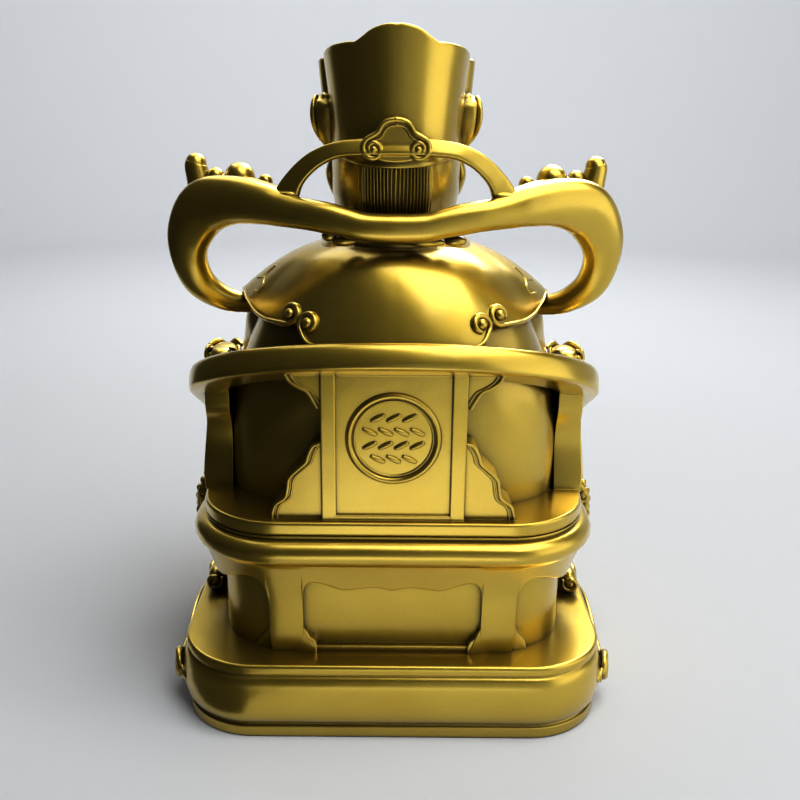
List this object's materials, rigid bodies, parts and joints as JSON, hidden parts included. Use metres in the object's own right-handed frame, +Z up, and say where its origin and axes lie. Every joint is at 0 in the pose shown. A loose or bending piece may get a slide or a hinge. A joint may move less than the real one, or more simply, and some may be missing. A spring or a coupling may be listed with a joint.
{
  "type": "seated caishen figure",
  "caption": "Gold-painted cast fortune god in a winged hat and flying scarf, seated on a horseshoe-backed throne that stands on a low round-edged plinth.",
  "frame": {"origin": "middle of the plinth's underside, on the surface that the figure stands on", "axes": "+Z up; -Y is the way the figure faces, so its back and the throne's splat are at +Y; +X is the figure's left"},
  "size_m": [0.2096, 0.1524, 0.2999],
  "materials": {
    "gold_paint": "satin metallic gold paint over cast resin, darkened in the recesses"
  },
  "bodies": {
    "root": {"base": "gold_paint", "seated_figure": "gold_paint", "scarf": "gold_paint", "hat_wings": "gold_paint"}
  },
  "joints": []
}
